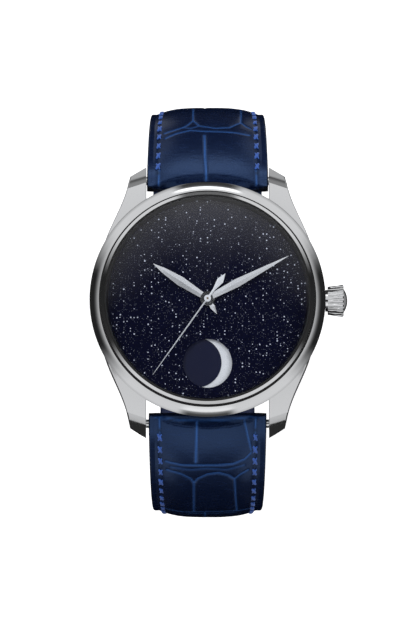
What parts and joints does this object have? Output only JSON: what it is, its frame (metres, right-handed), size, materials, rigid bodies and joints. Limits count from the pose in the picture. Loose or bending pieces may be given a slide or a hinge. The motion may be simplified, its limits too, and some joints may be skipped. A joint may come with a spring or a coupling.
{
  "type": "wristwatch",
  "caption": "Round steel wristwatch with dark sparkling dial, leaf hands, moon phase aperture, crown at 3 o'clock and blue leather strap with pin buckle.",
  "frame": {"origin": "centre of the case back's flat outer face", "axes": "+Z out through the dial, +Y to 12 o'clock, +X to 3 o'clock and the crown"},
  "size_m": [0.0459, 0.075, 0.0964],
  "materials": {
    "case_steel": "polished stainless steel",
    "fine_steel": "satin stainless steel",
    "hand_steel": "mirror-polished steel",
    "sapphire": "clear polished crystal",
    "gasket_rubber": "black moulded rubber",
    "dial_aventurine": "dark navy aventurine glass with fine sparkles",
    "moon_silver": "pale matt silvered metal",
    "moon_shadow": "dark navy lacquer",
    "plate_rhodium": "rhodium-plated brass, striped",
    "train_brass": "gilt brass",
    "pinion_steel": "polished steel",
    "ruby": "polished red synthetic ruby",
    "strap_leather": "dark blue scaled leather, semi-gloss",
    "lining_leather": "smooth dark calf leather"
  },
  "bodies": {
    "watch_head": {"case_middle": "case_steel", "bezel": "case_steel", "front_crystal": "sapphire", "crystal_gasket": "gasket_rubber", "inner_flange": "fine_steel", "case_back_ring": "case_steel", "back_crystal": "sapphire", "case_back_gasket": "gasket_rubber", "case_back_screws": "fine_steel", "crown_tube": "fine_steel", "spring_bars": "fine_steel", "dial": "dial_aventurine", "casing_ring": "train_brass", "main_plate": "plate_rhodium", "barrel_bridge": "plate_rhodium", "train_bridge": "plate_rhodium", "balance_cock": "plate_rhodium", "pallet_bridge": "plate_rhodium", "bridge_screws": "pinion_steel", "jewels": "ruby", "hairspring": "pinion_steel"},
    "minute": {"cannon_pinion": "pinion_steel", "minute_hand": "hand_steel"},
    "driving_pinion": {"driving_pinion": "pinion_steel"},
    "minute_wheel": {"minute_wheel": "train_brass"},
    "hour": {"hour_wheel": "train_brass", "hour_hand": "hand_steel"},
    "day_idler": {"day_idler": "train_brass"},
    "am_pm": {"am_pm_wheel": "train_brass", "am_pm_hand": "hand_steel"},
    "moon_wheel": {"moon_wheel": "train_brass"},
    "moon_ring": {"moon_ring": "moon_silver", "moon_shadow_discs": "moon_shadow"},
    "seconds": {"fourth_wheel": "train_brass", "seconds_hand": "hand_steel"},
    "third_wheel": {"third_wheel": "train_brass"},
    "second_wheel": {"second_wheel": "train_brass"},
    "barrel": {"barrel": "train_brass", "mainspring": "pinion_steel"},
    "escape_wheel": {"escape_wheel": "pinion_steel"},
    "keyless": {"winding_pinion": "pinion_steel", "sliding_pinion": "pinion_steel"},
    "crown": {"crown": "case_steel", "winding_stem": "pinion_steel"},
    "crown_wheel": {"crown_wheel": "pinion_steel"},
    "ratchet": {"ratchet_wheel": "pinion_steel", "barrel_arbor": "pinion_steel"},
    "click": {"click": "pinion_steel"},
    "pallet": {"pallet_fork": "pinion_steel", "pallet_stones": "ruby"},
    "balance": {"balance_wheel": "train_brass"},
    "strap_12": {"strap_12_leather": "strap_leather", "strap_12_lining": "lining_leather", "fixed_keeper": "strap_leather", "buckle_bar": "fine_steel"},
    "strap_6": {"strap_6_leather": "strap_leather", "strap_6_lining": "lining_leather"},
    "free_keeper": {"free_keeper": "strap_leather"},
    "buckle_frame": {"buckle_frame": "case_steel"},
    "buckle_tongue": {"buckle_tongue": "case_steel"}
  },
  "joints": [
    {"name": "minute_spin", "type": "hinge", "parent": "watch_head", "child": "minute", "pos_m": [0, 0, 0.0096], "axis": [0, 0, -1], "continuous": true},
    {"name": "driving_pinion_spin", "type": "hinge", "parent": "watch_head", "child": "driving_pinion", "pos_m": [0.00168, 0.00576, 0.0073], "axis": [0, 0, -1], "continuous": true},
    {"name": "minute_wheel_spin", "type": "hinge", "parent": "watch_head", "child": "minute_wheel", "pos_m": [0.00166, 0.00264, 0.0073], "axis": [0, 0, -1], "continuous": true},
    {"name": "hour_spin", "type": "hinge", "parent": "watch_head", "child": "hour", "pos_m": [0, 0, 0.0093], "axis": [0, 0, -1], "continuous": true},
    {"name": "day_idler_spin", "type": "hinge", "parent": "watch_head", "child": "day_idler", "pos_m": [-0.00282, -0.00103, 0.0073], "axis": [0, 0, -1], "continuous": true},
    {"name": "am_pm_spin", "type": "hinge", "parent": "watch_head", "child": "am_pm", "pos_m": [0, 0, 0.009], "axis": [0, 0, -1], "continuous": true},
    {"name": "moon_wheel_spin", "type": "hinge", "parent": "watch_head", "child": "moon_wheel", "pos_m": [-0.00581, -0.0013, 0.0073], "axis": [0, 0, -1], "continuous": true},
    {"name": "moon_ring_spin", "type": "hinge", "parent": "watch_head", "child": "moon_ring", "pos_m": [0, 0, 0.008], "axis": [0, 0, -1], "continuous": true},
    {"name": "seconds_spin", "type": "hinge", "parent": "watch_head", "child": "seconds", "pos_m": [0, 0, 0.0099], "axis": [0, 0, -1], "continuous": true},
    {"name": "third_wheel_spin", "type": "hinge", "parent": "watch_head", "child": "third_wheel", "pos_m": [-0.00353, 0.00435, 0.004], "axis": [0, 0, -1], "continuous": true},
    {"name": "second_wheel_spin", "type": "hinge", "parent": "watch_head", "child": "second_wheel", "pos_m": [0.00168, 0.00576, 0.0048], "axis": [0, 0, -1], "continuous": true},
    {"name": "barrel_spin", "type": "hinge", "parent": "watch_head", "child": "barrel", "pos_m": [0.00694, 0.00827, 0.0037], "axis": [0, 0, -1], "continuous": true, "deforming": ["mainspring"]},
    {"name": "escape_wheel_spin", "type": "hinge", "parent": "watch_head", "child": "escape_wheel", "pos_m": [-0.00232, -0.00498, 0.0042], "axis": [0, 0, -1], "continuous": true},
    {"name": "crown_turn", "type": "hinge", "parent": "watch_head", "child": "keyless", "pos_m": [0.0115, 0, 0.005], "axis": [1, 0, 0], "continuous": true},
    {"name": "crown_pull", "type": "slide", "parent": "keyless", "child": "crown", "axis": [1, 0, 0], "range_m": [0, 0.0012]},
    {"name": "crown_wheel_spin", "type": "hinge", "parent": "watch_head", "child": "crown_wheel", "pos_m": [0.0091, 0, 0.0017], "axis": [0, 0, 1], "continuous": true},
    {"name": "ratchet_spin", "type": "hinge", "parent": "watch_head", "child": "ratchet", "pos_m": [0.00694, 0.00827, 0.0017], "axis": [0, 0, 1], "continuous": true},
    {"name": "click_swing", "type": "hinge", "parent": "watch_head", "child": "click", "pos_m": [0.01285, 0.00723, 0.0018], "axis": [0, 0, 1], "range_deg": [-8, 0], "stiffness_Nm_per_rad": 0.0000002},
    {"name": "pallet_rock", "type": "hinge", "parent": "watch_head", "child": "pallet", "pos_m": [-0.00345, -0.00739, 0.0042], "axis": [0, 0, 1], "range_deg": [-2, 2]},
    {"name": "balance_swing", "type": "hinge", "parent": "watch_head", "child": "balance", "pos_m": [-0.00484, -0.01038, 0.0032], "axis": [0, 0, 1], "range_deg": [-270, 270], "stiffness_Nm_per_rad": 0.000001, "deforming": ["hairspring"]},
    {"name": "strap_12_swing", "type": "hinge", "parent": "watch_head", "child": "strap_12", "pos_m": [0, 0.0218, 0.0026], "axis": [1, 0, 0], "range_deg": [0, 60]},
    {"name": "strap_6_swing", "type": "hinge", "parent": "watch_head", "child": "strap_6", "pos_m": [0, -0.0218, 0.0026], "axis": [-1, 0, 0], "range_deg": [0, 60]},
    {"name": "free_keeper_slide", "type": "slide", "parent": "strap_12", "child": "free_keeper", "axis": [0, -0.5878, -0.809], "range_m": [-0.002, 0.0015]},
    {"name": "buckle_frame_swing", "type": "hinge", "parent": "strap_12", "child": "buckle_frame", "pos_m": [0, 0.01532, -0.06146], "axis": [1, 0, 0], "range_deg": [-30, 30]},
    {"name": "tongue_swing", "type": "hinge", "parent": "buckle_frame", "child": "buckle_tongue", "pos_m": [0, 0.01532, -0.06146], "axis": [1, 0, 0], "range_deg": [0, 70]}
  ],
  "couplings": [
    {"joint": "driving_pinion_spin", "follows": "minute_spin", "ratio": 1},
    {"joint": "minute_wheel_spin", "follows": "minute_spin", "ratio": -0.33333},
    {"joint": "hour_spin", "follows": "minute_spin", "ratio": 0.083333},
    {"joint": "day_idler_spin", "follows": "minute_spin", "ratio": -0.041667},
    {"joint": "am_pm_spin", "follows": "minute_spin", "ratio": 0.041667},
    {"joint": "moon_wheel_spin", "follows": "minute_spin", "ratio": 0.0056497},
    {"joint": "moon_ring_spin", "follows": "minute_spin", "ratio": 0.00070621},
    {"joint": "third_wheel_spin", "follows": "seconds_spin", "ratio": -0.13333},
    {"joint": "second_wheel_spin", "follows": "seconds_spin", "ratio": 0.016667},
    {"joint": "barrel_spin", "follows": "seconds_spin", "ratio": -0.0020833},
    {"joint": "escape_wheel_spin", "follows": "seconds_spin", "ratio": -10},
    {"joint": "crown_wheel_spin", "follows": "crown_turn", "ratio": 0.46154},
    {"joint": "ratchet_spin", "follows": "crown_turn", "ratio": -0.40134}
  ]
}
